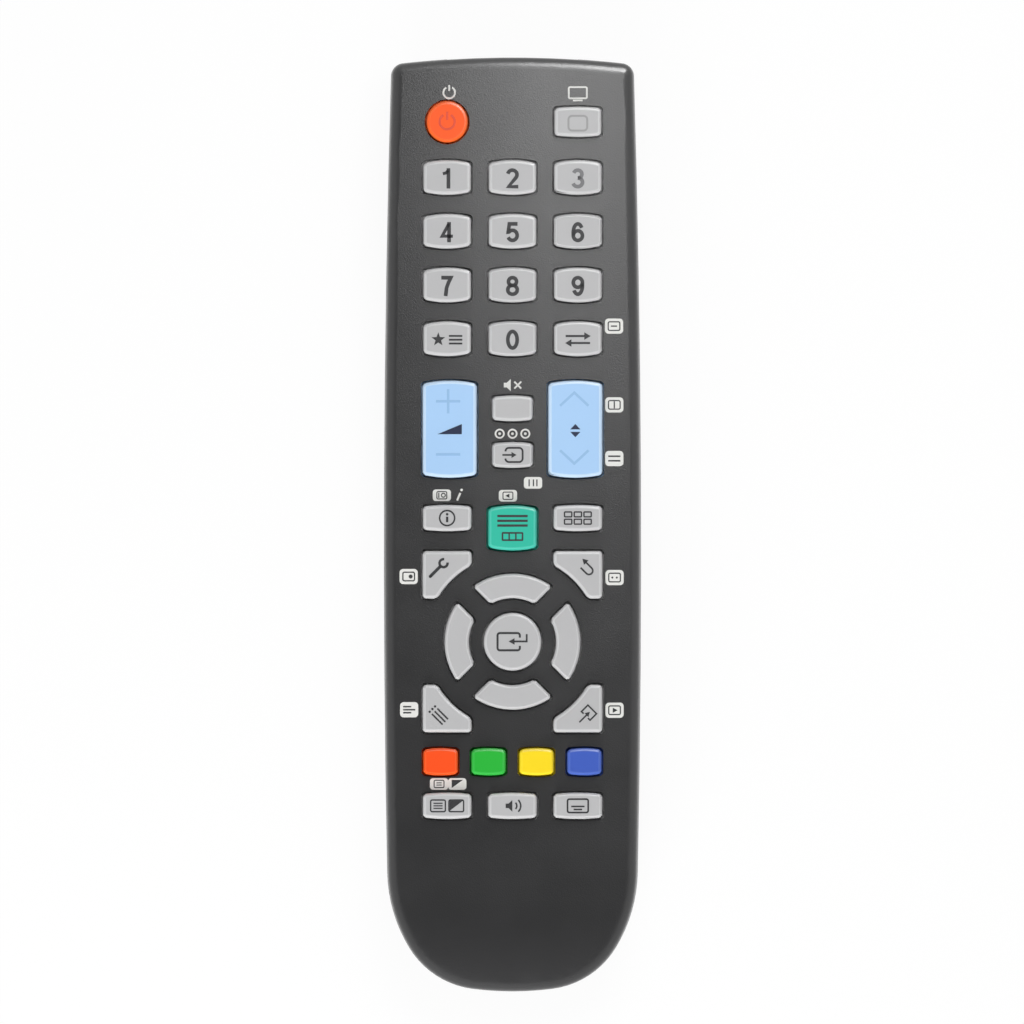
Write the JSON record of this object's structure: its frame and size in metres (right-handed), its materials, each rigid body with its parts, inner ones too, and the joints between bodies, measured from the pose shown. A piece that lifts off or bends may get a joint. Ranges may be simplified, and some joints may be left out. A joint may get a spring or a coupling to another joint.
{
  "type": "tv remote control",
  "caption": "Handheld infrared remote control with number keys, two rocker keys, a direction ring, colour keys and a battery door that slides off the tail end.",
  "frame": {"origin": "middle of the remote's footprint, on the surface that it lies on", "axes": "+X to the right of the keypad, +Y towards the transmitting end, +Z out of the key face"},
  "size_m": [0.0508, 0.1848, 0.0237],
  "materials": {
    "case_front": "satin",
    "case_rear": "satin",
    "key_grey": "satin",
    "key_orange": "satin",
    "key_pale_blue": "satin",
    "key_teal": "satin",
    "key_red": "satin",
    "key_green": "satin",
    "key_yellow": "satin",
    "key_blue": "satin",
    "mat_rubber": "matte",
    "board_green": "satin",
    "window_dark": "gloss",
    "led_clear": "gloss",
    "chip_black": "matte",
    "tinned_steel": "satin",
    "nickel_steel": "polished",
    "cell_jacket": "satin"
  },
  "bodies": {
    "case": {"front_case": "case_front", "rear_case": "case_rear", "keypad_mat": "mat_rubber", "circuit_board": "board_green", "ir_window": "window_dark", "ir_led": "led_clear", "ir_led_leads": "tinned_steel", "controller_chip": "chip_black", "resonator": "tinned_steel", "capacitor": "chip_black", "driver_transistor": "chip_black", "chip_resistors": "chip_black", "battery_cell_left": "cell_jacket", "battery_cell_right": "cell_jacket", "spring_left": "nickel_steel", "spring_right": "nickel_steel", "contact_link": "nickel_steel", "contact_positive": "nickel_steel", "contact_negative": "nickel_steel", "case_screws": "tinned_steel"},
    "battery_door": {"battery_door": "case_rear"},
    "key_0": {"key_0": "key_grey"},
    "key_1": {"key_1": "key_grey"},
    "key_2": {"key_2": "key_grey"},
    "key_3": {"key_3": "key_grey"},
    "key_4": {"key_4": "key_grey"},
    "key_5": {"key_5": "key_grey"},
    "key_6": {"key_6": "key_grey"},
    "key_7": {"key_7": "key_grey"},
    "key_8": {"key_8": "key_grey"},
    "key_9": {"key_9": "key_grey"},
    "key_screen": {"key_screen": "key_grey"},
    "key_favourite": {"key_favourite": "key_grey"},
    "key_previous": {"key_previous": "key_grey"},
    "key_mute": {"key_mute": "key_grey"},
    "key_source": {"key_source": "key_grey"},
    "key_info": {"key_info": "key_grey"},
    "key_guide": {"key_guide": "key_grey"},
    "key_tools": {"key_tools": "key_grey"},
    "key_return": {"key_return": "key_grey"},
    "key_list": {"key_list": "key_grey"},
    "key_exit": {"key_exit": "key_grey"},
    "key_ok": {"key_ok": "key_grey"},
    "key_right": {"key_right": "key_grey"},
    "key_up": {"key_up": "key_grey"},
    "key_left": {"key_left": "key_grey"},
    "key_down": {"key_down": "key_grey"},
    "key_text": {"key_text": "key_grey"},
    "key_audio": {"key_audio": "key_grey"},
    "key_subtitle": {"key_subtitle": "key_grey"},
    "key_power": {"key_power": "key_orange"},
    "rocker_volume": {"rocker_volume": "key_pale_blue"},
    "rocker_channel": {"rocker_channel": "key_pale_blue"},
    "key_menu": {"key_menu": "key_teal"},
    "key_red": {"key_red": "key_red"},
    "key_green": {"key_green": "key_green"},
    "key_yellow": {"key_yellow": "key_yellow"},
    "key_blue": {"key_blue": "key_blue"}
  },
  "joints": [
    {"name": "battery_door_slide", "type": "slide", "parent": "case", "child": "battery_door", "axis": [0, -1, 0], "range_m": [0, 0.055]},
    {"name": "rocker_volume_rock", "type": "hinge", "parent": "case", "child": "rocker_volume", "pos_m": [-0.0124, 0.0188, 0.01842], "axis": [1, 0, 0], "range_deg": [-2.5, 2.5], "stiffness_Nm_per_rad": 0.12},
    {"name": "rocker_channel_rock", "type": "hinge", "parent": "case", "child": "rocker_channel", "pos_m": [0.0124, 0.0188, 0.01842], "axis": [1, 0, 0], "range_deg": [-2.5, 2.5], "stiffness_Nm_per_rad": 0.12},
    {"name": "key_0_press", "type": "slide", "parent": "case", "child": "key_0", "axis": [0, 0, -1], "range_m": [0, 0.0008], "stiffness_N_per_m": 300, "springref_m": -0.002},
    {"name": "key_1_press", "type": "slide", "parent": "case", "child": "key_1", "axis": [0, 0, -1], "range_m": [0, 0.0008], "stiffness_N_per_m": 300, "springref_m": -0.002},
    {"name": "key_2_press", "type": "slide", "parent": "case", "child": "key_2", "axis": [0, 0, -1], "range_m": [0, 0.0008], "stiffness_N_per_m": 300, "springref_m": -0.002},
    {"name": "key_3_press", "type": "slide", "parent": "case", "child": "key_3", "axis": [0, 0, -1], "range_m": [0, 0.0008], "stiffness_N_per_m": 300, "springref_m": -0.002},
    {"name": "key_4_press", "type": "slide", "parent": "case", "child": "key_4", "axis": [0, 0, -1], "range_m": [0, 0.0008], "stiffness_N_per_m": 300, "springref_m": -0.002},
    {"name": "key_5_press", "type": "slide", "parent": "case", "child": "key_5", "axis": [0, 0, -1], "range_m": [0, 0.0008], "stiffness_N_per_m": 300, "springref_m": -0.002},
    {"name": "key_6_press", "type": "slide", "parent": "case", "child": "key_6", "axis": [0, 0, -1], "range_m": [0, 0.0008], "stiffness_N_per_m": 300, "springref_m": -0.002},
    {"name": "key_7_press", "type": "slide", "parent": "case", "child": "key_7", "axis": [0, 0, -1], "range_m": [0, 0.0008], "stiffness_N_per_m": 300, "springref_m": -0.002},
    {"name": "key_8_press", "type": "slide", "parent": "case", "child": "key_8", "axis": [0, 0, -1], "range_m": [0, 0.0008], "stiffness_N_per_m": 300, "springref_m": -0.002},
    {"name": "key_9_press", "type": "slide", "parent": "case", "child": "key_9", "axis": [0, 0, -1], "range_m": [0, 0.0008], "stiffness_N_per_m": 300, "springref_m": -0.002},
    {"name": "key_screen_press", "type": "slide", "parent": "case", "child": "key_screen", "axis": [0, 0, -1], "range_m": [0, 0.0008], "stiffness_N_per_m": 300, "springref_m": -0.002},
    {"name": "key_favourite_press", "type": "slide", "parent": "case", "child": "key_favourite", "axis": [0, 0, -1], "range_m": [0, 0.0008], "stiffness_N_per_m": 300, "springref_m": -0.002},
    {"name": "key_previous_press", "type": "slide", "parent": "case", "child": "key_previous", "axis": [0, 0, -1], "range_m": [0, 0.0008], "stiffness_N_per_m": 300, "springref_m": -0.002},
    {"name": "key_mute_press", "type": "slide", "parent": "case", "child": "key_mute", "axis": [0, 0, -1], "range_m": [0, 0.0008], "stiffness_N_per_m": 300, "springref_m": -0.002},
    {"name": "key_source_press", "type": "slide", "parent": "case", "child": "key_source", "axis": [0, 0, -1], "range_m": [0, 0.0008], "stiffness_N_per_m": 300, "springref_m": -0.002},
    {"name": "key_info_press", "type": "slide", "parent": "case", "child": "key_info", "axis": [0, 0, -1], "range_m": [0, 0.0008], "stiffness_N_per_m": 300, "springref_m": -0.002},
    {"name": "key_guide_press", "type": "slide", "parent": "case", "child": "key_guide", "axis": [0, 0, -1], "range_m": [0, 0.0008], "stiffness_N_per_m": 300, "springref_m": -0.002},
    {"name": "key_tools_press", "type": "slide", "parent": "case", "child": "key_tools", "axis": [0, 0, -1], "range_m": [0, 0.0008], "stiffness_N_per_m": 300, "springref_m": -0.002},
    {"name": "key_return_press", "type": "slide", "parent": "case", "child": "key_return", "axis": [0, 0, -1], "range_m": [0, 0.0008], "stiffness_N_per_m": 300, "springref_m": -0.002},
    {"name": "key_list_press", "type": "slide", "parent": "case", "child": "key_list", "axis": [0, 0, -1], "range_m": [0, 0.0008], "stiffness_N_per_m": 300, "springref_m": -0.002},
    {"name": "key_exit_press", "type": "slide", "parent": "case", "child": "key_exit", "axis": [0, 0, -1], "range_m": [0, 0.0008], "stiffness_N_per_m": 300, "springref_m": -0.002},
    {"name": "key_ok_press", "type": "slide", "parent": "case", "child": "key_ok", "axis": [0, 0, -1], "range_m": [0, 0.0008], "stiffness_N_per_m": 300, "springref_m": -0.002},
    {"name": "key_right_press", "type": "slide", "parent": "case", "child": "key_right", "axis": [0, 0, -1], "range_m": [0, 0.0008], "stiffness_N_per_m": 300, "springref_m": -0.002},
    {"name": "key_up_press", "type": "slide", "parent": "case", "child": "key_up", "axis": [0, 0, -1], "range_m": [0, 0.0008], "stiffness_N_per_m": 300, "springref_m": -0.002},
    {"name": "key_left_press", "type": "slide", "parent": "case", "child": "key_left", "axis": [0, 0, -1], "range_m": [0, 0.0008], "stiffness_N_per_m": 300, "springref_m": -0.002},
    {"name": "key_down_press", "type": "slide", "parent": "case", "child": "key_down", "axis": [0, 0, -1], "range_m": [0, 0.0008], "stiffness_N_per_m": 300, "springref_m": -0.002},
    {"name": "key_text_press", "type": "slide", "parent": "case", "child": "key_text", "axis": [0, 0, -1], "range_m": [0, 0.0008], "stiffness_N_per_m": 300, "springref_m": -0.002},
    {"name": "key_audio_press", "type": "slide", "parent": "case", "child": "key_audio", "axis": [0, 0, -1], "range_m": [0, 0.0008], "stiffness_N_per_m": 300, "springref_m": -0.002},
    {"name": "key_subtitle_press", "type": "slide", "parent": "case", "child": "key_subtitle", "axis": [0, 0, -1], "range_m": [0, 0.0008], "stiffness_N_per_m": 300, "springref_m": -0.002},
    {"name": "key_power_press", "type": "slide", "parent": "case", "child": "key_power", "axis": [0, 0, -1], "range_m": [0, 0.0008], "stiffness_N_per_m": 300, "springref_m": -0.002},
    {"name": "key_menu_press", "type": "slide", "parent": "case", "child": "key_menu", "axis": [0, 0, -1], "range_m": [0, 0.0008], "stiffness_N_per_m": 300, "springref_m": -0.002},
    {"name": "key_red_press", "type": "slide", "parent": "case", "child": "key_red", "axis": [0, 0, -1], "range_m": [0, 0.0008], "stiffness_N_per_m": 300, "springref_m": -0.002},
    {"name": "key_green_press", "type": "slide", "parent": "case", "child": "key_green", "axis": [0, 0, -1], "range_m": [0, 0.0008], "stiffness_N_per_m": 300, "springref_m": -0.002},
    {"name": "key_yellow_press", "type": "slide", "parent": "case", "child": "key_yellow", "axis": [0, 0, -1], "range_m": [0, 0.0008], "stiffness_N_per_m": 300, "springref_m": -0.002},
    {"name": "key_blue_press", "type": "slide", "parent": "case", "child": "key_blue", "axis": [0, 0, -1], "range_m": [0, 0.0008], "stiffness_N_per_m": 300, "springref_m": -0.002}
  ]
}
